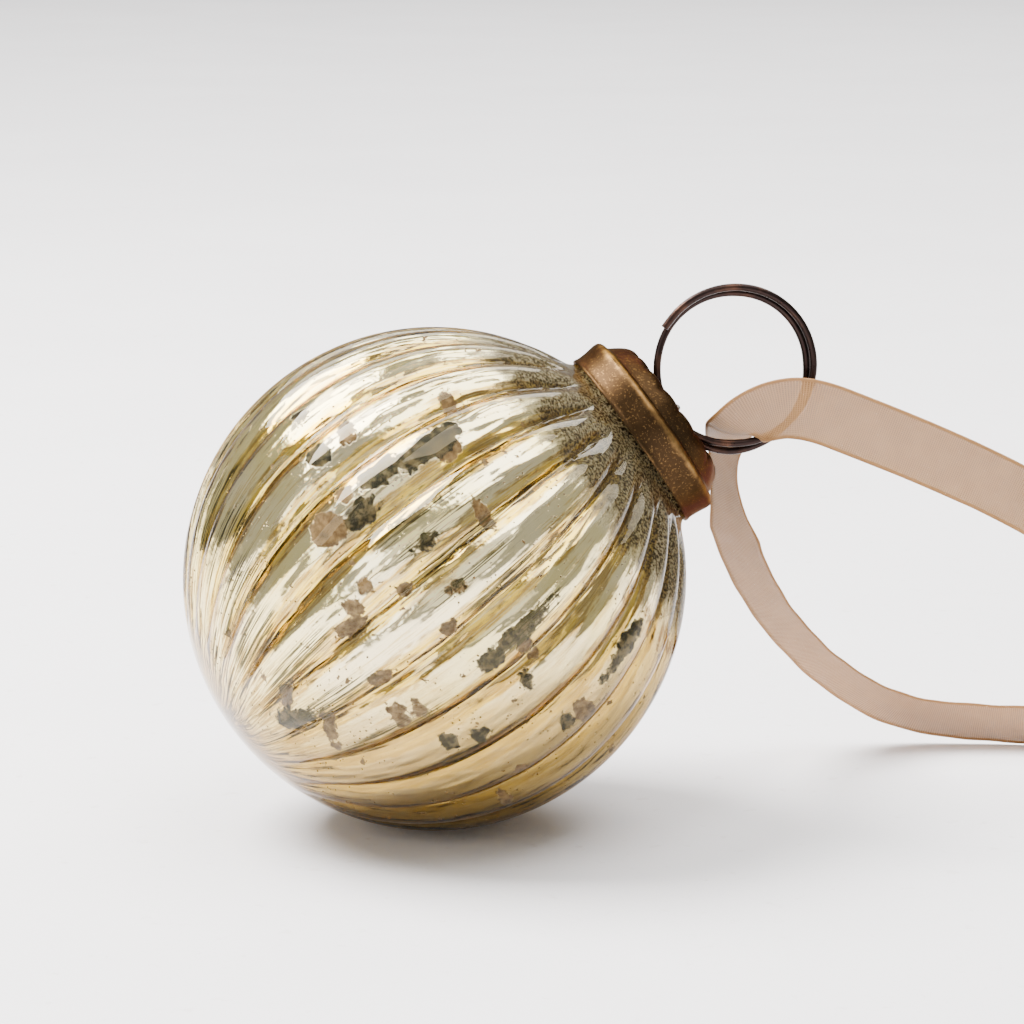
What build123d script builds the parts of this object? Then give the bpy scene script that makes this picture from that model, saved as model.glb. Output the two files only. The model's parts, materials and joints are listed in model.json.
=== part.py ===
"""Ribbed glass ball ornament, lying tipped on a table with its ribbon laid out beside it.

Five bought pieces make it: a blown glass ball with a short neck, a pressed cap over the neck, a
sprung wire hanger whose loop comes up through the cap, a two-turn split ring in that loop, and a
ribbon threaded through the ring and tied to itself in a knot.

Millimetres. The table is z = 0 and the ball touches it at the origin. The ball's own axis, from
its closed pole out through the neck, is tipped AXIS_RISE above the table and turned AXIS_TURN
from +X towards +Y. Everything but the ribbon is drawn upright in a local frame, whose Z is that
axis and whose origin is the ball's centre, and is then placed.
"""

from build123d import *
import math
import os

# ---- driving dimensions ----
BALL_RADIUS = 38.1  # a three inch ball
GLASS_WALL = 1.2
AXIS_RISE = 34.1  # degrees above the table
AXIS_TURN = 8.3  # degrees from +X towards +Y

RIB_COUNT = 24
RIB_SWIRL = 4.0  # degrees that each groove leans from its meridian
GROOVE_DEPTH = 0.75
GROOVE_RADIUS = 2.2  # across the groove
GROOVE_FLATTER = 3.0  # how much larger than the ball's radius the groove's own circle is
GROOVE_SWEEP = 121.0  # degrees of that circle that the cutter fills

RIM_HEIGHT = 36.0  # the cap's lower rim, from the ball's centre
CAP_RIM_RADIUS = 14.8
CAP_SHEET = 0.45
CROWN_HEIGHT = 8.3  # the raised edge of the cap's top, above its rim
CAP_PETALS = 16
PETAL_LENGTH = 1.6
PETAL_PLACE = 10.0  # the petals' middle, from the axis
PETAL_ROUND = 0.9  # radius of each petal's back
PETAL_SINK = 0.5  # the centre of that round, below the crown

NECK_RADIUS = 14.0
NECK_WALL = 1.3
NECK_TOP = 4.0  # above the cap's rim
NECK_FOOT_ROUND = 2.0

RING_WIRE = 1.15
RING_MEAN_RADIUS = 12.3
RING_TURNS = 1.94
LOOP_WIRE = 0.9
LOOP_HEIGHT = 7.2  # the ring's wire in the loop, above the cap's rim
LOOP_GAP = 0.2  # between the ring's two turns and the loop
HANGER_TURN = -2.0  # degrees, the loop about the ball's axis
LEG_REACH = 11.9  # the legs press the inside of the neck
LEG_END = -10.0  # from the cap's rim

# Outlines and paths, as (distance from the axis, height above the cap's rim).
CAP_OUTSIDE = [
    (CAP_RIM_RADIUS, 0),
    (CAP_RIM_RADIUS + 0.2, 4.4),
    (CAP_RIM_RADIUS - 0.5, 5.1),
    (13.5, 5.2),
    (12.1, 7.5),
    (10.8, CROWN_HEIGHT),
    (9.2, CROWN_HEIGHT),
    (7.6, 6.6),
    (4.0, 5.7),
    (2.2, 5.6),
]
CAP_INSIDE = [
    (2.2, 5.6 - CAP_SHEET),
    (4.1, 5.7 - CAP_SHEET),
    (7.9, 6.6 - CAP_SHEET),
    (9.4, CROWN_HEIGHT - CAP_SHEET),
    (10.6, CROWN_HEIGHT - CAP_SHEET),
    (11.8, 7.6 - CAP_SHEET),
    (13.3, 5.3 - CAP_SHEET),
    (14.3, 5.0 - CAP_SHEET),
    (CAP_RIM_RADIUS + 0.2 - CAP_SHEET, 4.2),
    (CAP_RIM_RADIUS - CAP_SHEET, 0),
]
LOOP_RADIUS = LOOP_WIRE / 2 + RING_WIRE + LOOP_GAP
HANGER_SIDE = [
    (LOOP_RADIUS, LOOP_HEIGHT),
    (LOOP_RADIUS * 0.9, 4.4),
    (4.2, 3.2),
    (9.6, 0.4),
    (LEG_REACH - LOOP_WIRE / 2, -4.0),
    (LEG_REACH - LOOP_WIRE / 2 - 1.2, LEG_END),
]
HANGER_BENDS = [1.2, 2.0, 6.0, 3.0]
RING_TURN_GAP = 0.03  # between the ring's two turns
BEND_SHARE = 0.45  # of the shorter run at a corner of the ribbon's route, taken up by its arc

RIBBON_TUBE = 1.2  # has the area of the ribbon's own section, 9.5 by 0.12
KNOT_SIZE = (10.0, 8.4, 7.0)

# The ribbon's two strands, from the middle of the fold over the ring's wire out to the knot.
RING_FOLD = (45.2, 6.9, 58.9)
FRONT_ROUTE = [
    (47.2, 4.4, 61.4),
    (51.6, 3.5, 63.7),
    (57.1, 2.8, 63.4),
    (64.5, 2.2, 60.7),
    (74.7, 1.3, 56.7),
    (89.0, 0.6, 50.2),
    (105.0, 2.4, 39.8),
    (119.5, 7.2, 27.0),
    (131.0, 16.0, 14.6),
    (139.4, 26.6, 6.6),
    (146.0, 34.4, 4.2),
]
BACK_ROUTE = [
    (43.1, 9.9, 56.3),
    (43.3, 12.7, 50.5),
    (45.0, 17.0, 43.5),
    (48.3, 24.2, 34.8),
    (54.6, 33.2, 24.4),
    (64.2, 39.8, 13.4),
    (76.4, 43.4, 5.6),
    (91.6, 42.8, 3.9),
    (107.4, 40.4, 3.8),
    (122.2, 37.6, 3.7),
    (135.0, 36.4, 3.8),
    (145.0, 36.6, 3.9),
]
KNOT_CENTRE = (148.4, 37.2, 3.9)
TAIL_ROUTES = [
    [(151.6, 39.0, 3.6), (158.6, 44.0, 2.6), (166.4, 46.6, 1.4)],
    [(151.8, 36.0, 3.6), (159.4, 33.6, 2.8), (168.0, 34.0, 1.6)],
]


# ---- frames ----
def unit(x, y, z):
    length = math.sqrt(x * x + y * y + z * z)
    return Vector(x / length, y / length, z / length)


rise, turn = math.radians(AXIS_RISE), math.radians(AXIS_TURN)
AXIS = unit(math.cos(rise) * math.cos(turn), math.cos(rise) * math.sin(turn), math.sin(rise))
LEVEL = unit(math.sin(turn), -math.cos(turn), 0)
CENTRE = Vector(0, 0, BALL_RADIUS)
ball_frame = Plane(origin=CENTRE, x_dir=LEVEL, z_dir=AXIS)


def placed(shape, about_axis=0.0):
    """Turn a shape about the local Z, then put it on the ball's axis."""
    return ball_frame.location * (Rot(0, 0, about_axis) * shape)


def revolved(outline):
    """Turn a closed outline of (radius, height) points and arcs about the local Z."""
    return revolve(make_face(Plane.XZ * outline), Axis.Z)


# ---- the glass ball ----
def glass_ball():
    """A hollow ball with an open neck, and shallow leaning grooves between its ribs."""
    bore = NECK_RADIUS - NECK_WALL
    lip = RIM_HEIGHT + NECK_TOP
    ball = Sphere(BALL_RADIUS)
    neck = extrude(Plane.XY.offset(BALL_RADIUS / 2) * Circle(NECK_RADIUS), lip - BALL_RADIUS / 2)
    body = ball + neck
    foot = [e for e in body.edges().filter_by(GeomType.CIRCLE) if abs(e.radius - NECK_RADIUS) < 0.01]
    foot = sorted(foot, key=lambda e: e.center().Z)[0]
    body = fillet(foot, NECK_FOOT_ROUND)
    hollow = Sphere(BALL_RADIUS - GLASS_WALL)
    hollow += extrude(Plane.XY.offset(BALL_RADIUS / 2) * Circle(bore), lip)
    body -= hollow
    for number in range(RIB_COUNT):
        body -= groove(number * 360 / RIB_COUNT)
    return placed(body)


def groove(angle):
    """One groove cutter: a bent rod on a circle larger than the ball and hung to one side of it,
    so that it bites deepest at the widest part and runs out before the pole and the neck."""
    circle_radius = BALL_RADIUS + GROOVE_FLATTER
    reach = BALL_RADIUS - GROOVE_DEPTH + GROOVE_RADIUS
    centre = (reach - circle_radius, 0)
    path = Plane.XZ * CenterArc(centre, circle_radius, -GROOVE_SWEEP / 2, GROOVE_SWEEP)
    rod = sweep(Plane(path @ 0, z_dir=path % 0) * Circle(GROOVE_RADIUS), path=path)
    return Rot(0, 0, angle) * Rot(RIB_SWIRL, 0, 0) * rod


# ---- the cap ----
def cap():
    """A thin pressed shell: skirt, rolled shoulder, upper band, a raised crown edge and a dished
    top with petals round it and a hole for the hanger."""
    outline = Polyline(*CAP_OUTSIDE, *CAP_INSIDE, close=True)
    shell = revolved(outline)
    lying = Rot(0, 90, 0) * Cylinder(PETAL_ROUND, PETAL_LENGTH)
    petal = Pos(PETAL_PLACE, 0, CROWN_HEIGHT - PETAL_SINK) * lying
    block = 2 * PETAL_LENGTH + 1
    petal -= Pos(PETAL_PLACE, 0, CROWN_HEIGHT - CAP_SHEET / 2 - block / 2) * Box(block, block, block)
    for number in range(CAP_PETALS):
        shell += Rot(0, 0, number * 360 / CAP_PETALS) * petal
    return placed(Pos(0, 0, RIM_HEIGHT) * shell)


# ---- the hanger wire ----
def hanger_wire():
    """One wire: a loop above the cap and two legs that spread inside the neck."""
    right = FilletPolyline(*HANGER_SIDE, radius=HANGER_BENDS)
    left = mirror(right, Plane.YZ)
    over = CenterArc((0, LOOP_HEIGHT), LOOP_RADIUS, 0, 180)
    halves = []
    for path in (right, left):
        path = Plane.XZ * path
        section = Plane(path @ 0, z_dir=path % 0) * Circle(LOOP_WIRE / 2)
        halves.append(sweep(section, path=path))
    arch = Plane.XZ * over
    section = Plane(arch @ 0, z_dir=arch % 0) * Circle(LOOP_WIRE / 2)
    wire = sweep(section, path=arch) + halves[0] + halves[1]
    return placed(Pos(0, 0, RIM_HEIGHT) * wire, HANGER_TURN)


# ---- the split ring ----
def split_ring():
    """Nearly two turns of round wire, side by side, held at the middle of their lowest stretch."""
    pitch = RING_WIRE + RING_TURN_GAP
    height = RING_TURNS * pitch
    coil = Helix(pitch, height, RING_MEAN_RADIUS)
    section = Plane(coil @ 0, z_dir=coil % 0) * Circle(RING_WIRE / 2)
    ring = sweep(section, path=coil, is_frenet=True)
    ends_at = RING_TURNS * 360 / 2
    ring = Rot(0, 0, 180 - ends_at) * Pos(0, 0, -height / 2) * ring
    ring = Rot(0, -90, 0) * ring
    centre_height = RIM_HEIGHT + LOOP_HEIGHT + RING_MEAN_RADIUS
    return placed(Pos(0, 0, centre_height) * ring, HANGER_TURN)


# ---- the ribbon ----
def tube(points, name):
    """A round tube along straight runs joined by the largest arcs that their corners allow."""
    points = [Vector(*p) for p in points]
    runs = [b - a for a, b in zip(points, points[1:])]
    radii = []
    for before, after in zip(runs, runs[1:]):
        half_turn = math.radians(before.get_angle(after)) / 2
        radii.append(BEND_SHARE * min(before.length, after.length) / math.tan(half_turn))
    path = FilletPolyline(*points, radius=radii)
    section = Plane(path @ 0, z_dir=path % 0) * Circle(RIBBON_TUBE / 2)
    solid = sweep(section, path=path)
    expected = math.pi * RIBBON_TUBE**2 / 4 * path.length
    print(f"{name}: {path.length:.1f} mm, volume {solid.volume:.1f} of {expected:.1f} mm3,")
    print("  radii", [round(r, 1) for r in radii])
    return solid


def ribbon_knot():
    """The pulled-tight knot, as one plain rounded lump."""
    lump = Sphere(1)
    return Pos(*KNOT_CENTRE) * scale(lump, by=tuple(size / 2 for size in KNOT_SIZE))


# ---- the parts ----
def write(name, shape):
    export_step(shape, f"parts/{name}.step")
    print(name, "volume", round(shape.volume, 1))


os.makedirs("parts", exist_ok=True)
write("glass_ball", glass_ball())
write("cap", cap())
write("hanger_wire", hanger_wire())
write("split_ring", split_ring())
write("ribbon_front", tube([RING_FOLD] + FRONT_ROUTE, "ribbon_front"))
write("ribbon_back", tube([RING_FOLD] + BACK_ROUTE, "ribbon_back"))
write("ribbon_knot", ribbon_knot())
tails = [tube(route, "ribbon_tail") for route in TAIL_ROUTES]
write("ribbon_tails", Compound(children=tails))
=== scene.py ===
# %% [markdown]
# # A ribbed mercury-glass ball, tipped on a table with its ribbon beside it
#
# The real thing is a ball of clear glass blown into a ribbed mould, silvered on the inside and
# tinted pale gold. Over its short neck sits a pressed bronze cap, a wire hanger comes up through
# the cap, a split ring hangs in the hanger and a sheer ribbon is tied through the ring.
# The measured model gives every place and size. This notebook only adds the looks.

# %% Load the measured model
import json
import math
from types import SimpleNamespace
import bmesh
import bpy
import numpy as np
from mathutils import Matrix, Vector


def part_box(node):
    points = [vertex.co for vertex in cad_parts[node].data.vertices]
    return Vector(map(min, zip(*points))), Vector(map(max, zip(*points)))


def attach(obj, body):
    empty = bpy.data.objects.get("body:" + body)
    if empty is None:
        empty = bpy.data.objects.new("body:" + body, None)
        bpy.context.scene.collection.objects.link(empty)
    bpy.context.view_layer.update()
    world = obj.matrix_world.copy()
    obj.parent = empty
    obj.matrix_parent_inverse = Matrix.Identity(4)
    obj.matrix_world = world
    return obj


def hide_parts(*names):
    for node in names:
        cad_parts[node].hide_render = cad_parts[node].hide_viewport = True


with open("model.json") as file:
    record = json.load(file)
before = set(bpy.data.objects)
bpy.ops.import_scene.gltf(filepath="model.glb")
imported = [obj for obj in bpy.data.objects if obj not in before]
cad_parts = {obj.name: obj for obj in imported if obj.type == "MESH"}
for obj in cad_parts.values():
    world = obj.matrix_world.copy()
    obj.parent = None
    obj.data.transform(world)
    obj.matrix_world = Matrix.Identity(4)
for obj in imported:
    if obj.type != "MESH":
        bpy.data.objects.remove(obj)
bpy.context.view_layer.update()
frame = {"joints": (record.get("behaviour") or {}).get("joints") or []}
MM = 0.001

# %% [markdown]
# The joints already hold the ornament's geometry: the cap slides along the ball's own axis, and
# the ring swings about a line through the hanger's loop. The ball's centre and radius come from
# the glass node's box, because the ball is its widest part in Y and Z.

# %% Read the axis, the centre and the ring's place
joints = {joint["name"]: joint for joint in frame["joints"]}
AXIS = Vector(joints["cap_pull"]["axis"]).normalized()
SWING = Vector(joints["ring_swing"]["axis"]).normalized()
LOOP = Vector(joints["ring_swing"]["pos_m"])
glass_low, glass_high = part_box("glass_ball")
BALL_RADIUS = (glass_high.y - glass_low.y) / 2
CENTRE = Vector((glass_low.x, glass_low.y, glass_low.z)) + Vector((BALL_RADIUS,) * 3)
RIM = Vector(joints["hanger_turn"]["pos_m"])
RIM_HEIGHT = (RIM - CENTRE).dot(AXIS)
print("ball radius", round(BALL_RADIUS, 5), "cap rim", round(RIM_HEIGHT, 5), "above its centre")


# %% [markdown]
# The camera stands a little above the table, far back with a long lens, so that the ball keeps
# its round outline. It aims right of the ball and above it, which leaves room for the ribbon.

# %% Camera
EYE_DISTANCE = 0.577
EYE_RISE = math.radians(12.0)
AIM = CENTRE + Vector((0.01167, 0.0, 0.0102))


def in_scene(name, data):
    """A new object in the scene."""
    thing = bpy.data.objects.new(name, data)
    bpy.context.scene.collection.objects.link(thing)
    return thing


camera_data = bpy.data.cameras.new("camera")
camera_data.lens = 133.9
camera_data.sensor_width = 36.0
camera_data.clip_start, camera_data.clip_end = 0.01, 20.0
camera = in_scene("camera", camera_data)
camera.location = CENTRE + EYE_DISTANCE * Vector((0, -math.cos(EYE_RISE), math.sin(EYE_RISE)))
camera.rotation_euler = (AIM - camera.location).to_track_quat("-Z", "Y").to_euler()
bpy.context.scene.camera = camera
print("camera at", [round(c, 3) for c in camera.location])

# %% [markdown]
# ## The ribbon's route
#
# The ribbon passes through the split ring. One strand comes out in front and arches over to the
# right, the other drops behind and runs along the table on its edge, and they meet in a knot.
# Each route is a list of points in millimetres, the same ones as in the measured model. Beside each
# point stands the way across the ribbon there, and a smooth NURBS line through the points carries both.

# %% Route points and the way across the ribbon
RING_FOLD = (45.2, 6.9, 58.9)
FOLD_ACROSS = (0.99, 0.13, 0.0)
KNOT_CENTRE = (148.4, 37.2, 3.9)
FRONT_ROUTE = [
    (RING_FOLD, FOLD_ACROSS),
    ((45.8, 4.9, 59.8), (0.97, 0.10, -0.18)),
    ((48.4, 4.0, 62.0), (0.82, 0.04, -0.57)),
    ((52.8, 3.4, 63.6), (0.40, 0.0, -0.92)),
    ((57.7, 2.8, 63.3), (0.05, -0.08, -1.0)),
    ((64.5, 2.2, 60.7), (-0.25, -0.15, -0.95)),
    ((74.7, 1.3, 56.7), (-0.33, -0.22, -0.90)),
    ((89.0, 0.6, 50.2), (-0.42, -0.30, -0.84)),
    ((105.0, 2.4, 39.8), (-0.42, -0.55, -0.66)),
    ((119.5, 7.2, 27.0), (-0.30, -0.80, -0.40)),
    ((131.0, 16.0, 14.6), (0.05, -0.95, -0.15)),
    ((139.4, 26.6, 6.6), (0.55, -0.80, 0.00)),
    ((146.0, 34.4, 4.2), (0.60, -0.75, 0.10)),
    (KNOT_CENTRE, (0.50, -0.80, 0.10)),
    ((151.6, 39.0, 3.6), (0.45, -0.85, 0.10)),
    ((158.6, 44.0, 2.6), (0.55, -0.82, 0.06)),
    ((166.4, 46.6, 1.4), (0.35, -0.93, 0.04)),
]
BACK_ROUTE = [
    (RING_FOLD, FOLD_ACROSS),
    ((44.9, 9.4, 58.0), (0.90, -0.42, 0.05)),
    ((44.6, 13.2, 56.2), (0.68, -0.72, 0.10)),
    ((44.8, 17.2, 50.9), (0.70, -0.70, 0.08)),
    ((46.0, 20.6, 43.8), (0.66, -0.72, 0.12)),
    ((48.9, 26.2, 34.9), (0.54, -0.79, 0.24)),
    ((54.6, 33.2, 24.4), (0.45, -0.78, 0.38)),
    ((64.2, 39.8, 13.4), (0.34, -0.75, 0.52)),
    ((76.4, 43.4, 5.6), (0.15, -0.66, 0.72)),
    ((91.6, 42.8, 4.1), (0.02, -0.60, 0.80)),
    ((107.4, 40.4, 4.1), (0.00, -0.58, 0.81)),
    ((122.2, 37.6, 3.9), (0.05, -0.65, 0.75)),
    ((135.0, 36.4, 3.8), (0.10, -0.80, 0.50)),
    ((145.0, 36.6, 3.9), (0.05, -0.95, 0.20)),
    (KNOT_CENTRE, (0.0, -1.0, 0.05)),
    ((151.8, 36.0, 3.6), (-0.15, -0.98, 0.02)),
    ((159.4, 33.6, 2.8), (-0.30, -0.95, 0.02)),
    ((168.0, 34.0, 1.6), (0.10, -0.99, 0.03)),
]
print(len(FRONT_ROUTE), "points in front,", len(BACK_ROUTE), "behind")

# %% A NURBS line through a list of points
SAMPLES_PER_SPAN = 12


def nurbs_curve(points, resolution):
    """A smooth open NURBS curve that has these points as its control points."""
    data = bpy.data.curves.new("route", "CURVE")
    data.dimensions = "3D"
    data.resolution_u = resolution
    spline = data.splines.new("NURBS")
    spline.points.add(len(points) - 1)
    for control, place in zip(spline.points, points):
        control.co = (*place, 1.0)
    spline.order_u = 3
    spline.use_endpoint_u = True
    return data


def nurbs_line(points):
    """The points along such a curve."""
    data = nurbs_curve(points, SAMPLES_PER_SPAN)
    holder = bpy.data.objects.new("route", data)
    mesh = bpy.data.meshes.new_from_object(holder)
    line = np.array([v.co[:] for v in mesh.vertices])
    bpy.data.meshes.remove(mesh)
    bpy.data.objects.remove(holder)
    bpy.data.curves.remove(data)
    return line


def length_along(line):
    return np.concatenate([[0.0], np.cumsum(np.linalg.norm(np.diff(line, axis=0), axis=1))])


front_line = nurbs_line([Vector(p) * MM for p, _ in FRONT_ROUTE])
front_across = nurbs_line([a for _, a in FRONT_ROUTE])
back_line = nurbs_line([Vector(p) * MM for p, _ in BACK_ROUTE])
back_across = nurbs_line([a for _, a in BACK_ROUTE])
print("front", round(length_along(front_line)[-1], 4), "back", round(length_along(back_line)[-1], 4))

# %% [markdown]
# Small helpers serve the whole notebook. They make faces between rings of corners, turn corners
# and faces into an object at the origin, merge doubles and turn every face outwards, and write
# the numbers that a material can read at each corner.

# %% Mesh helpers
def quads_between(rings, around, closed=False):
    """Four-sided faces between rings of corners, and back to the first ring if it is closed."""
    return [(k * around + i, k * around + (i + 1) % around,
             (k + 1) % rings * around + (i + 1) % around, (k + 1) % rings * around + i)
            for k in range(rings if closed else rings - 1) for i in range(around)]


def made(name, corners, faces, material=None):
    """A mesh object at the origin, with its place in its corners."""
    data = bpy.data.meshes.new(name)
    data.from_pydata([tuple(c) for c in corners], [], [tuple(f) for f in faces])
    data.update()
    if material:
        data.materials.append(material)
    return in_scene(name, data)


def cleaned(thing, merge=1e-6):
    """Merges doubled corners, turns all faces outwards and shades them smooth."""
    work = bmesh.new()
    work.from_mesh(thing.data)
    bmesh.ops.remove_doubles(work, verts=work.verts, dist=merge)
    bmesh.ops.dissolve_degenerate(work, edges=work.edges, dist=merge / 10)
    bmesh.ops.recalc_face_normals(work, faces=work.faces)
    for face in work.faces:
        face.smooth = True
    work.to_mesh(thing.data)
    work.free()
    return thing


def mark(thing, name, values):
    """Stores one number at each corner."""
    attribute = thing.data.attributes.new(name, "FLOAT", "POINT")
    attribute.data.foreach_set("value", np.asarray(values, np.float32))


def thread_map(thing, places):
    """Stores each corner's place on the flat cloth as a UV map."""
    layer = thing.data.uv_layers.new(name="thread")
    for loop in thing.data.loops:
        layer.data[loop.index].uv = places[loop.vertex_index]


def corners_of(thing):
    flat = np.zeros(len(thing.data.vertices) * 3, np.float32)
    thing.data.vertices.foreach_get("co", flat)
    return flat.reshape(-1, 3).astype(float)


def joined(name, pieces):
    """Several objects made into one."""
    work = bmesh.new()
    for piece in pieces:
        work.from_mesh(piece.data)
    for piece in pieces:
        bpy.data.objects.remove(piece)
    data = bpy.data.meshes.new(name)
    work.to_mesh(data)
    work.free()
    return in_scene(name, data)


# %% [markdown]
# Materials and Geometry Nodes share the same arithmetic, so the same short helpers add Math nodes
# to either kind of tree. The others add a node with its settings and inputs, a soft step, a noise,
# a mix and a bump.

# %% Node helpers
def feed(tree, socket, value):
    """Links a socket to another one's value, or sets it to a plain number or colour."""
    if isinstance(value, bpy.types.NodeSocket):
        tree.links.new(value, socket)
    else:
        socket.default_value = value


def feed_all(tree, target, values):
    """Feeds several inputs of one node, by their names or numbers."""
    for key, value in values.items():
        feed(tree, target.inputs[key], value)
    return target


def node(tree, kind, values=None, **settings):
    """A new node with its settings, and values for its inputs."""
    new = tree.nodes.new(kind)
    for key, value in settings.items():
        setattr(new, key, value)
    return feed_all(tree, new, values or {})


def calc(tree, operation, *values):
    return node(tree, "ShaderNodeMath", dict(enumerate(values)), operation=operation).outputs[0]


def plus(tree, first, *others):
    for other in others:
        first = calc(tree, "ADD", first, other)
    return first


def times(tree, first, *others):
    for other in others:
        first = calc(tree, "MULTIPLY", first, other)
    return first


def minus(tree, first, second):
    return calc(tree, "SUBTRACT", first, second)


def scaled(tree, value, factor, offset):
    return calc(tree, "MULTIPLY_ADD", value, factor, offset)


def centred(tree, fraction, spread):
    """Moves 0 to 1 to a range of this spread about nought."""
    return scaled(tree, fraction, spread, -spread / 2)


def between(tree, value, low, high):
    """A soft step: nought below low, one above high, smooth between them."""
    values = dict(enumerate((value, low, high, 0.0, 1.0)))
    return node(tree, "ShaderNodeMapRange", values, interpolation_type="SMOOTHSTEP").outputs[0]


def noise(tree, vector, scale, detail=3.0, roughness=0.55):
    values = {"Vector": vector, "Scale": scale, "Detail": detail, "Roughness": roughness}
    return node(tree, "ShaderNodeTexNoise", values).outputs["Fac"]


def mixed(tree, share, first, second, kind="RGBA"):
    """One colour over another, or one number over another."""
    values = {"Factor": share, "A": first, "B": second}
    return node(tree, "ShaderNodeMix", values, data_type=kind).outputs["Result"]


def stored(tree, name):
    return node(tree, "ShaderNodeAttribute", attribute_name=name).outputs["Fac"]


def place(tree):
    return node(tree, "ShaderNodeTexCoord").outputs["Object"]


def facing(tree):
    """Nought where a surface faces the eye, one where it turns away."""
    return node(tree, "ShaderNodeLayerWeight", {"Blend": 0.5}).outputs["Facing"]


def bumped(tree, height, strength, distance):
    values = {"Height": height, "Strength": strength, "Distance": distance}
    return node(tree, "ShaderNodeBump", values).outputs["Normal"]


def finish_named(name):
    """A new material, its tree and its Principled shader."""
    material = bpy.data.materials.new(name)
    material.use_nodes = True
    tree = material.node_tree
    return material, tree, tree.nodes["Principled BSDF"]


def colour(red, green, blue):
    return (red, green, blue, 1.0)


# %% [markdown]
# ## The ribbon
#
# The ribbon is organza, a sheer plain weave of fine metallic thread between two firm edges. It
# is a strip of cloth that keeps its width, so a mesh strip follows the route and turns with the
# way across. A cloth simulation could drop it, but the real one is stiff enough to stand on its
# edge, and a placed strip gives the same twist every time. The cloth keeps a UV map in metres,
# so that its threads follow every turn.

# %% A strip of ribbon along a line
RIBBON_WIDTH = 0.0095
CLOTH = 0.00012
EDGE_CLOTH = 0.00034
EDGE_WIDTH = 0.0006
COLUMNS_ACROSS = (-1.0, -0.94, -0.875, -0.72, -0.5, -0.25, 0.0, 0.25, 0.5, 0.72, 0.875, 0.94, 1.0)
STATION = 0.0006
SMOOTHED_STATIONS = 31
RIPPLE = 0.0001


def ribbon_frames(line, across):
    """Evenly spaced places along the line, with the way across the ribbon and its normal."""
    run = length_along(line)
    stations = np.linspace(0, run[-1], int(run[-1] / STATION))
    at = np.column_stack([np.interp(stations, run, line[:, k]) for k in range(3)])
    window = np.hanning(SMOOTHED_STATIONS) / np.hanning(SMOOTHED_STATIONS).sum()
    spare = SMOOTHED_STATIONS // 2
    side = [np.pad(np.interp(stations, run, across[:, k]), spare, "edge") for k in range(3)]
    side = np.column_stack([np.convolve(one, window, "valid") for one in side])
    tangent = np.gradient(at, axis=0)
    tangent /= np.linalg.norm(tangent, axis=1)[:, None]
    side -= (side * tangent).sum(1)[:, None] * tangent
    side /= np.linalg.norm(side, axis=1)[:, None]
    return stations, at, side, np.cross(tangent, side)


def ribbon_strip(name, frames, first, last, start, width, cup):
    """A closed strip between two stations. width and cup are functions of the length from start:
    the share of the full width, and how far the edges curl out of the strip's plane."""
    stations, at, side, normal = frames
    corners, uvs = [], []
    for k in range(first, last + 1):
        along = stations[k] - start
        half = width(along) * RIBBON_WIDTH / 2
        ripple = RIPPLE * math.sin(along * 700) * math.sin(along * 190)
        for face in (1, -1):
            for u in COLUMNS_ACROSS[::face]:
                thick = EDGE_CLOTH if abs(u) > 0.9 else CLOTH
                if abs(u) == 1.0:
                    thick *= 0.5
                lift = cup(along) * u * u + face * thick / 2 + ripple * u
                corners.append(at[k] + side[k] * u * half + normal[k] * lift)
                uvs.append((u * RIBBON_WIDTH / 2, along))
    around = 2 * len(COLUMNS_ACROSS)
    rings = last - first + 1
    faces = quads_between(rings, around)
    pairs = [(i, i + 1, around - 2 - i, around - 1 - i) for i in range(around // 2 - 1)]
    faces += [p[::-1] for p in pairs]
    end = (rings - 1) * around
    faces += [tuple(end + i for i in p) for p in pairs]
    strip = made(name, corners, faces)
    thread_map(strip, uvs)
    return cleaned(strip)


# %% [markdown]
# Organza shows its crosswise threads most, the lengthwise ones less, and the floor between them.
# The threads set the alpha, so the cloth is sheer wherever it is not a thread. A few threads
# catch the light, which gives the small sparkles.

# %% The ribbon's cloth
WEFT_PITCH = 0.00034
WARP_PITCH = 0.00030


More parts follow.
